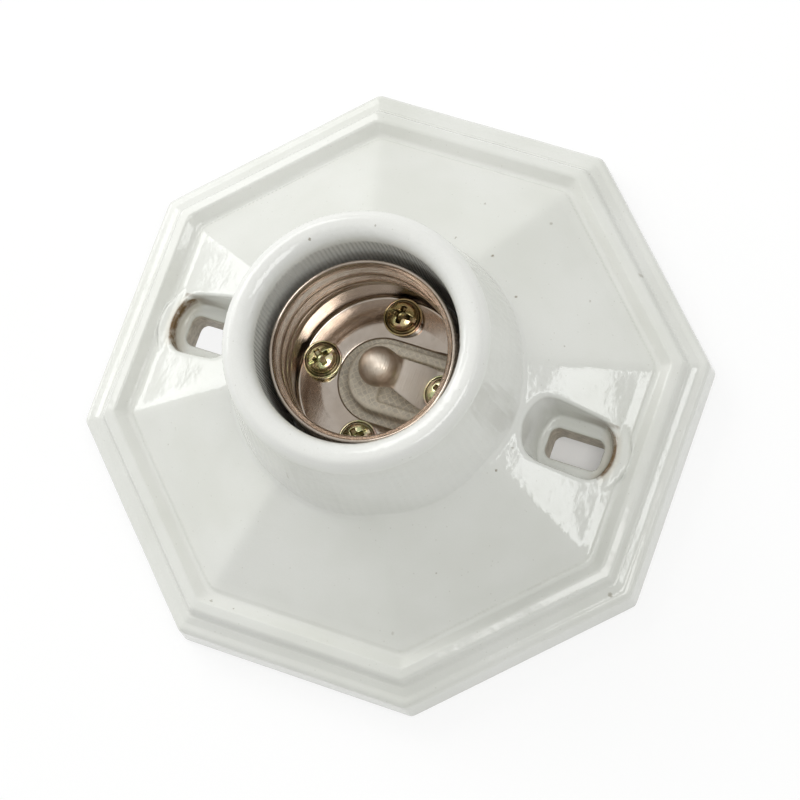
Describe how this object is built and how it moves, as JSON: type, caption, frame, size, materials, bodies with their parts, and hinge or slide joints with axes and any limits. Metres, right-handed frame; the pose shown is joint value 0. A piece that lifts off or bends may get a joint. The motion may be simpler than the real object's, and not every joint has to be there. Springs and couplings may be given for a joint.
{
  "type": "porcelain lamp socket",
  "caption": "Surface-mounted porcelain lamp socket: octagonal stepped foot, tapered collar, threaded metal shell with sprung centre contact, and screw terminals behind.",
  "frame": {"origin": "middle of the flat back of the foot, on the axis of the lamp thread", "axes": "+Z along the lamp thread's axis, out of the mouth; +X through the mounting slots, towards the root of the contact strip; +Y across"},
  "size_m": [0.09, 0.09, 0.0364],
  "materials": {
    "porcelain": "gloss glaze, unglazed on the boss and the back",
    "nickel_sheet": "nickel plate",
    "contact_strip": "nickel plate with lengthwise and crosswise rub marks",
    "zinc_screw": "yellow zinc plate",
    "bright_steel": "bright zinc plate",
    "brass_terminal": "stamped brass"
  },
  "bodies": {
    "socket": {"porcelain_body": "porcelain", "screw_shell": "nickel_sheet", "centre_contact": "contact_strip", "shell_screw_north": "zinc_screw", "shell_screw_south": "zinc_screw", "neutral_link_screw": "zinc_screw", "contact_link_screw": "zinc_screw", "shell_nut_north": "bright_steel", "shell_nut_south": "bright_steel", "lock_washer_north": "bright_steel", "lock_washer_south": "bright_steel", "neutral_lock_washer": "bright_steel", "contact_lock_washer": "bright_steel", "neutral_terminal_plate": "brass_terminal", "live_terminal_plate": "brass_terminal"},
    "neutral_clamp": {"neutral_clamp_washer": "brass_terminal"},
    "neutral_screw": {"neutral_terminal_screw": "zinc_screw"},
    "live_clamp": {"live_clamp_washer": "brass_terminal"},
    "live_screw": {"live_terminal_screw": "zinc_screw"}
  },
  "joints": [
    {"name": "neutral_clamp_travel", "type": "slide", "parent": "socket", "child": "neutral_clamp", "axis": [0, 0, -1], "range_m": [0, 0.0024]},
    {"name": "neutral_screw_turn", "type": "hinge", "parent": "neutral_clamp", "child": "neutral_screw", "pos_m": [-0.0098, 0.0084, 0.0053], "axis": [0, 0, -1], "range_deg": [0, 1450]},
    {"name": "live_clamp_travel", "type": "slide", "parent": "socket", "child": "live_clamp", "axis": [0, 0, -1], "range_m": [0, 0.0024]},
    {"name": "live_screw_turn", "type": "hinge", "parent": "live_clamp", "child": "live_screw", "pos_m": [0.0102, -0.0084, 0.0053], "axis": [0, 0, -1], "range_deg": [0, 1450]}
  ],
  "couplings": [
    {"joint": "neutral_screw_turn", "follows": "neutral_clamp_travel", "rad_per_m": 10472},
    {"joint": "live_screw_turn", "follows": "live_clamp_travel", "rad_per_m": 10472}
  ]
}
